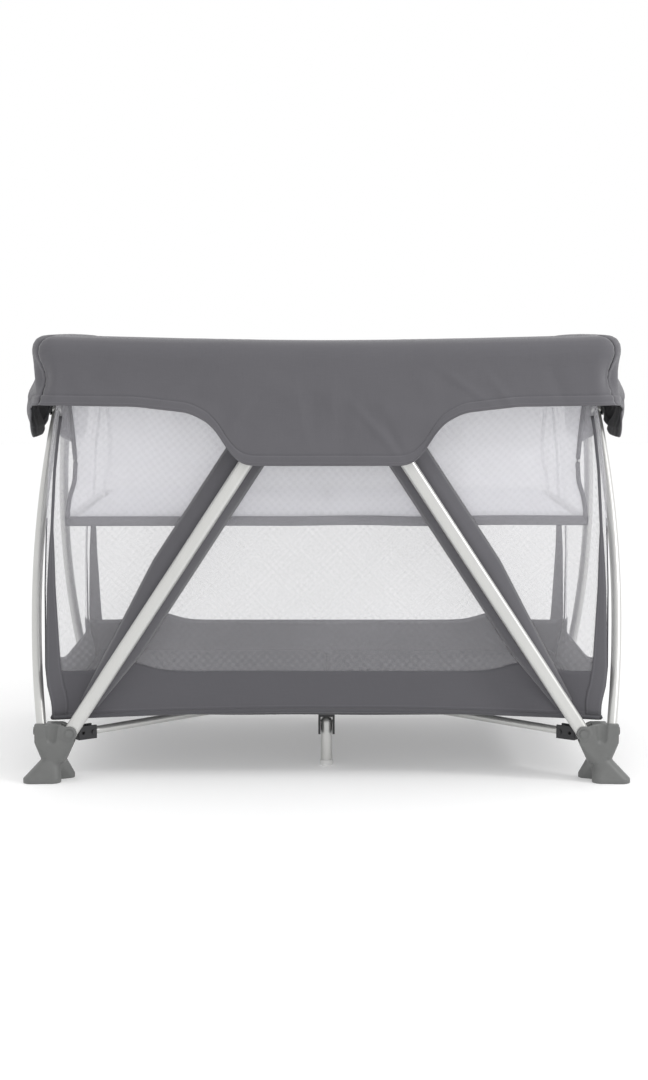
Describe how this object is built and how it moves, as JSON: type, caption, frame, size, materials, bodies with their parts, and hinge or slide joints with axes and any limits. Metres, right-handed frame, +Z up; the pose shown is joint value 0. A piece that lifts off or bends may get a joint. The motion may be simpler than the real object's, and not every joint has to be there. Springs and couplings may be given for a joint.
{
  "type": "folding playpen",
  "caption": "Rectangular fabric playpen on leaning tube legs with mesh walls, a hanging bassinet, a folding mattress and a frame that folds into an upright bundle.",
  "frame": {"origin": "on the floor, under the middle of the frame", "axes": "+X along the length, -Y towards the front, +Z up"},
  "size_m": [1.07, 0.76, 0.783],
  "materials": {
    "foot_plastic": "moulded, satin",
    "black_steel": "black powder coat",
    "silver_tube": "satin silver coat",
    "rail_steel": "satin grey coat",
    "black_plastic": "moulded, matte",
    "pin_steel": "turned",
    "handle_plastic": "moulded, satin",
    "cover_fabric": "plain weave, graphite grey",
    "wall_mesh": "knitted net",
    "band_fabric": "plain weave, dark grey",
    "floor_fabric": "plain weave",
    "mattress_fabric": "plain weave",
    "pad_fabric": "soft knit",
    "bassinet_mesh": "fine net",
    "glide_plastic": "white, smooth"
  },
  "bodies": {
    "foot_fl": {"foot_fl": "foot_plastic", "foot_fittings_fl": "black_steel"},
    "base_spoke_fl": {"base_spoke_fl": "silver_tube"},
    "long_leg_fl": {"long_leg_fl": "silver_tube"},
    "end_leg_fl": {"end_leg_fl": "silver_tube"},
    "long_rail_fl": {"long_rail_fl": "rail_steel"},
    "end_rail_fl": {"end_rail_fl": "rail_steel"},
    "rail_corner_fl": {"rail_corner_fl": "black_plastic"},
    "foot_fr": {"foot_fr": "foot_plastic", "foot_fittings_fr": "black_steel"},
    "base_spoke_fr": {"base_spoke_fr": "silver_tube"},
    "long_leg_fr": {"long_leg_fr": "silver_tube"},
    "end_leg_fr": {"end_leg_fr": "silver_tube"},
    "long_rail_fr": {"long_rail_fr": "rail_steel"},
    "end_rail_fr": {"end_rail_fr": "rail_steel"},
    "rail_corner_fr": {"rail_corner_fr": "black_plastic"},
    "foot_rl": {"foot_rl": "foot_plastic", "foot_fittings_rl": "black_steel"},
    "base_spoke_rl": {"base_spoke_rl": "silver_tube"},
    "long_leg_rl": {"long_leg_rl": "silver_tube"},
    "end_leg_rl": {"end_leg_rl": "silver_tube"},
    "long_rail_rl": {"long_rail_rl": "rail_steel"},
    "end_rail_rl": {"end_rail_rl": "rail_steel"},
    "rail_corner_rl": {"rail_corner_rl": "black_plastic"},
    "foot_rr": {"foot_rr": "foot_plastic", "foot_fittings_rr": "black_steel"},
    "base_spoke_rr": {"base_spoke_rr": "silver_tube"},
    "long_leg_rr": {"long_leg_rr": "silver_tube"},
    "end_leg_rr": {"end_leg_rr": "silver_tube"},
    "long_rail_rr": {"long_rail_rr": "rail_steel"},
    "end_rail_rr": {"end_rail_rr": "rail_steel"},
    "rail_corner_rr": {"rail_corner_rr": "black_plastic"},
    "front_hub": {"front_hub": "black_plastic", "front_hub_pins": "pin_steel", "cover_front": "cover_fabric", "bassinet_front": "bassinet_mesh"},
    "center_arm_front": {"center_arm_front": "black_steel"},
    "center_leg_front": {"center_leg_front": "silver_tube"},
    "rear_hub": {"rear_hub": "black_plastic", "rear_hub_pins": "pin_steel", "cover_rear": "cover_fabric", "bassinet_rear": "bassinet_mesh"},
    "center_arm_rear": {"center_arm_rear": "black_steel"},
    "center_leg_rear": {"center_leg_rear": "silver_tube"},
    "left_hub": {"left_hub": "black_plastic", "left_hub_pins": "pin_steel", "cover_left": "cover_fabric", "bassinet_left": "bassinet_mesh"},
    "mattress_left": {"mattress_left": "mattress_fabric"},
    "bassinet_pad_left": {"bassinet_pad_left": "pad_fabric"},
    "right_hub": {"right_hub": "black_plastic", "right_hub_pins": "pin_steel", "cover_right": "cover_fabric", "bassinet_right": "bassinet_mesh"},
    "mattress_right": {"mattress_right": "mattress_fabric"},
    "bassinet_pad_right": {"bassinet_pad_right": "pad_fabric"},
    "center_hub": {"center_hub": "black_plastic", "center_hub_pins": "pin_steel", "floor_cloth": "floor_fabric"},
    "hub_handle": {"hub_handle": "handle_plastic"}
  },
  "joints": [
    {"name": "fold", "type": "hinge", "parent": "foot_fl", "child": "base_spoke_fl", "pos_m": [-0.42, -0.321, 0.084], "axis": [0.6072, -0.7945, 0], "range_deg": [0, 83.8], "deforming": ["cover_front", "cover_rear", "cover_left", "cover_right", "floor_cloth", "mattress_left", "mattress_right", "bassinet_front", "bassinet_rear", "bassinet_left", "bassinet_right", "bassinet_pad_left", "bassinet_pad_right"]},
    {"name": "middle_hub_level", "type": "hinge", "parent": "base_spoke_fl", "child": "center_hub", "pos_m": [-0.035, -0.02675, 0.098], "axis": [0.6072, -0.7945, 0], "range_deg": [-83.8, 0]},
    {"name": "base_spoke_fr_hub", "type": "hinge", "parent": "center_hub", "child": "base_spoke_fr", "pos_m": [0.035, -0.02675, 0.098], "axis": [0.6072, 0.7945, 0], "range_deg": [0, 83.8]},
    {"name": "foot_fr_level", "type": "hinge", "parent": "base_spoke_fr", "child": "foot_fr", "pos_m": [0.42, -0.321, 0.084], "axis": [0.6072, 0.7945, 0], "range_deg": [-83.8, 0]},
    {"name": "base_spoke_rl_hub", "type": "hinge", "parent": "center_hub", "child": "base_spoke_rl", "pos_m": [-0.035, 0.02675, 0.098], "axis": [-0.6072, -0.7945, 0], "range_deg": [0, 83.8]},
    {"name": "foot_rl_level", "type": "hinge", "parent": "base_spoke_rl", "child": "foot_rl", "pos_m": [-0.42, 0.321, 0.084], "axis": [-0.6072, -0.7945, 0], "range_deg": [-83.8, 0]},
    {"name": "base_spoke_rr_hub", "type": "hinge", "parent": "center_hub", "child": "base_spoke_rr", "pos_m": [0.035, 0.02675, 0.098], "axis": [-0.6072, 0.7945, 0], "range_deg": [0, 83.8]},
    {"name": "foot_rr_level", "type": "hinge", "parent": "base_spoke_rr", "child": "foot_rr", "pos_m": [0.42, 0.321, 0.084], "axis": [-0.6072, 0.7945, 0], "range_deg": [-83.8, 0]},
    {"name": "long_leg_fl_foot", "type": "hinge", "parent": "foot_fl", "child": "long_leg_fl", "pos_m": [-0.452, -0.358, 0.088], "axis": [0, 1, 0], "range_deg": [-33.23, 0]},
    {"name": "end_leg_fl_foot", "type": "hinge", "parent": "foot_fl", "child": "end_leg_fl", "pos_m": [-0.504, -0.34, 0.088], "axis": [1, 0, 0], "range_deg": [0, 25.86]},
    {"name": "long_leg_fr_foot", "type": "hinge", "parent": "foot_fr", "child": "long_leg_fr", "pos_m": [0.452, -0.358, 0.088], "axis": [0, 1, 0], "range_deg": [0, 33.23]},
    {"name": "end_leg_fr_foot", "type": "hinge", "parent": "foot_fr", "child": "end_leg_fr", "pos_m": [0.504, -0.34, 0.088], "axis": [1, 0, 0], "range_deg": [0, 25.86]},
    {"name": "long_leg_rl_foot", "type": "hinge", "parent": "foot_rl", "child": "long_leg_rl", "pos_m": [-0.452, 0.358, 0.088], "axis": [0, 1, 0], "range_deg": [-33.23, 0]},
    {"name": "end_leg_rl_foot", "type": "hinge", "parent": "foot_rl", "child": "end_leg_rl", "pos_m": [-0.504, 0.34, 0.088], "axis": [1, 0, 0], "range_deg": [-25.86, 0]},
    {"name": "long_leg_rr_foot", "type": "hinge", "parent": "foot_rr", "child": "long_leg_rr", "pos_m": [0.452, 0.358, 0.088], "axis": [0, 1, 0], "range_deg": [0, 33.23]},
    {"name": "end_leg_rr_foot", "type": "hinge", "parent": "foot_rr", "child": "end_leg_rr", "pos_m": [0.504, 0.34, 0.088], "axis": [1, 0, 0], "range_deg": [-25.86, 0]},
    {"name": "front_hub_level", "type": "hinge", "parent": "long_leg_fl", "child": "front_hub", "pos_m": [-0.09752, -0.358, 0.629], "axis": [0, 1, 0], "range_deg": [0, 33.23]},
    {"name": "rear_hub_level", "type": "hinge", "parent": "long_leg_rl", "child": "rear_hub", "pos_m": [-0.09752, 0.358, 0.629], "axis": [0, 1, 0], "range_deg": [0, 33.23]},
    {"name": "left_hub_level", "type": "hinge", "parent": "end_leg_fl", "child": "left_hub", "pos_m": [-0.504, -0.06908, 0.647], "axis": [1, 0, 0], "range_deg": [-25.86, 0]},
    {"name": "right_hub_level", "type": "hinge", "parent": "end_leg_fr", "child": "right_hub", "pos_m": [0.504, -0.06908, 0.647], "axis": [1, 0, 0], "range_deg": [-25.86, 0]},
    {"name": "long_rail_fl_hub", "type": "hinge", "parent": "front_hub", "child": "long_rail_fl", "pos_m": [-0.06, -0.334, 0.759], "axis": [0, 1, 0], "range_deg": [-90, 0]},
    {"name": "rail_corner_fl_level", "type": "hinge", "parent": "long_rail_fl", "child": "rail_corner_fl", "pos_m": [-0.41448, -0.334, 0.759], "axis": [0, 1, 0], "range_deg": [0, 90]},
    {"name": "end_rail_fl_hub", "type": "hinge", "parent": "left_hub", "child": "end_rail_fl", "pos_m": [-0.48, -0.02017, 0.774], "axis": [1, 0, 0], "range_deg": [0, 82.14]},
    {"name": "long_rail_fr_hub", "type": "hinge", "parent": "front_hub", "child": "long_rail_fr", "pos_m": [0.06, -0.334, 0.759], "axis": [0, 1, 0], "range_deg": [0, 90]},
    {"name": "rail_corner_fr_level", "type": "hinge", "parent": "long_rail_fr", "child": "rail_corner_fr", "pos_m": [0.41448, -0.334, 0.759], "axis": [0, 1, 0], "range_deg": [-90, 0]},
    {"name": "end_rail_fr_hub", "type": "hinge", "parent": "right_hub", "child": "end_rail_fr", "pos_m": [0.48, -0.02017, 0.774], "axis": [1, 0, 0], "range_deg": [0, 82.14]},
    {"name": "long_rail_rl_hub", "type": "hinge", "parent": "rear_hub", "child": "long_rail_rl", "pos_m": [-0.06, 0.334, 0.759], "axis": [0, 1, 0], "range_deg": [-90, 0]},
    {"name": "rail_corner_rl_level", "type": "hinge", "parent": "long_rail_rl", "child": "rail_corner_rl", "pos_m": [-0.41448, 0.334, 0.759], "axis": [0, 1, 0], "range_deg": [0, 90]},
    {"name": "end_rail_rl_hub", "type": "hinge", "parent": "left_hub", "child": "end_rail_rl", "pos_m": [-0.48, 0.02017, 0.774], "axis": [1, 0, 0], "range_deg": [-82.14, 0]},
    {"name": "long_rail_rr_hub", "type": "hinge", "parent": "rear_hub", "child": "long_rail_rr", "pos_m": [0.06, 0.334, 0.759], "axis": [0, 1, 0], "range_deg": [0, 90]},
    {"name": "rail_corner_rr_level", "type": "hinge", "parent": "long_rail_rr", "child": "rail_corner_rr", "pos_m": [0.41448, 0.334, 0.759], "axis": [0, 1, 0], "range_deg": [-90, 0]},
    {"name": "end_rail_rr_hub", "type": "hinge", "parent": "right_hub", "child": "end_rail_rr", "pos_m": [0.48, 0.02017, 0.774], "axis": [1, 0, 0], "range_deg": [-82.14, 0]},
    {"name": "center_arm_front_hub", "type": "hinge", "parent": "center_hub", "child": "center_arm_front", "pos_m": [0, -0.04, 0.098], "axis": [1, 0, 0], "range_deg": [0, 90]},
    {"name": "center_leg_front_clevis", "type": "hinge", "parent": "center_arm_front", "child": "center_leg_front", "pos_m": [0, -0.215, 0.08], "axis": [1, 0, 0], "range_deg": [-90, 0]},
    {"name": "center_arm_rear_hub", "type": "hinge", "parent": "center_hub", "child": "center_arm_rear", "pos_m": [0, 0.04, 0.098], "axis": [1, 0, 0], "range_deg": [-90, 0]},
    {"name": "center_leg_rear_clevis", "type": "hinge", "parent": "center_arm_rear", "child": "center_leg_rear", "pos_m": [0, 0.215, 0.08], "axis": [1, 0, 0], "range_deg": [0, 90]},
    {"name": "mattress_left_fold", "type": "hinge", "parent": "center_hub", "child": "mattress_left", "pos_m": [-0.038, 0, 0.1105], "axis": [0, 1, 0], "range_deg": [-84, 0]},
    {"name": "bassinet_pad_left_fold", "type": "hinge", "parent": "front_hub", "child": "bassinet_pad_left", "pos_m": [-0.08, 0, 0.45], "axis": [0, 1, 0], "range_deg": [-85, 0]},
    {"name": "mattress_right_fold", "type": "hinge", "parent": "center_hub", "child": "mattress_right", "pos_m": [0.038, 0, 0.1105], "axis": [0, 1, 0], "range_deg": [0, 84]},
    {"name": "bassinet_pad_right_fold", "type": "hinge", "parent": "front_hub", "child": "bassinet_pad_right", "pos_m": [0.08, 0, 0.45], "axis": [0, 1, 0], "range_deg": [0, 85]},
    {"name": "hub_handle_pull", "type": "slide", "parent": "center_hub", "child": "hub_handle", "axis": [0, 0, 1], "range_m": [0, 0.012], "stiffness_N_per_m": 400, "springref_m": -0.004}
  ],
  "couplings": [
    {"joint": "middle_hub_level", "follows": "fold", "ratio": -1},
    {"joint": "base_spoke_fr_hub", "follows": "fold", "ratio": 1},
    {"joint": "foot_fr_level", "follows": "fold", "ratio": -1},
    {"joint": "base_spoke_rl_hub", "follows": "fold", "ratio": 1},
    {"joint": "foot_rl_level", "follows": "fold", "ratio": -1},
    {"joint": "base_spoke_rr_hub", "follows": "fold", "ratio": 1},
    {"joint": "foot_rr_level", "follows": "fold", "ratio": -1},
    {"joint": "long_leg_fl_foot", "follows": "fold", "ratio": -0.39659},
    {"joint": "end_leg_fl_foot", "follows": "fold", "ratio": 0.30856},
    {"joint": "long_leg_fr_foot", "follows": "fold", "ratio": 0.39659},
    {"joint": "end_leg_fr_foot", "follows": "fold", "ratio": 0.30856},
    {"joint": "long_leg_rl_foot", "follows": "fold", "ratio": -0.39659},
    {"joint": "end_leg_rl_foot", "follows": "fold", "ratio": -0.30856},
    {"joint": "long_leg_rr_foot", "follows": "fold", "ratio": 0.39659},
    {"joint": "end_leg_rr_foot", "follows": "fold", "ratio": -0.30856},
    {"joint": "front_hub_level", "follows": "fold", "ratio": 0.39659},
    {"joint": "rear_hub_level", "follows": "fold", "ratio": 0.39659},
    {"joint": "left_hub_level", "follows": "fold", "ratio": -0.30856},
    {"joint": "right_hub_level", "follows": "fold", "ratio": -0.30856},
    {"joint": "long_rail_fl_hub", "follows": "fold", "ratio": -1.074},
    {"joint": "rail_corner_fl_level", "follows": "fold", "ratio": 1.074},
    {"joint": "end_rail_fl_hub", "follows": "fold", "ratio": 0.98021},
    {"joint": "long_rail_fr_hub", "follows": "fold", "ratio": 1.074},
    {"joint": "rail_corner_fr_level", "follows": "fold", "ratio": -1.074},
    {"joint": "end_rail_fr_hub", "follows": "fold", "ratio": 0.98021},
    {"joint": "long_rail_rl_hub", "follows": "fold", "ratio": -1.074},
    {"joint": "rail_corner_rl_level", "follows": "fold", "ratio": 1.074},
    {"joint": "end_rail_rl_hub", "follows": "fold", "ratio": -0.98021},
    {"joint": "long_rail_rr_hub", "follows": "fold", "ratio": 1.074},
    {"joint": "rail_corner_rr_level", "follows": "fold", "ratio": -1.074},
    {"joint": "end_rail_rr_hub", "follows": "fold", "ratio": -0.98021},
    {"joint": "center_arm_front_hub", "follows": "fold", "ratio": 1.074},
    {"joint": "center_leg_front_clevis", "follows": "fold", "ratio": -1.074},
    {"joint": "center_arm_rear_hub", "follows": "fold", "ratio": -1.074},
    {"joint": "center_leg_rear_clevis", "follows": "fold", "ratio": 1.074},
    {"joint": "mattress_left_fold", "follows": "fold", "ratio": -1.0024},
    {"joint": "bassinet_pad_left_fold", "follows": "fold", "ratio": -1.0143},
    {"joint": "mattress_right_fold", "follows": "fold", "ratio": 1.0024},
    {"joint": "bassinet_pad_right_fold", "follows": "fold", "ratio": 1.0143}
  ]
}
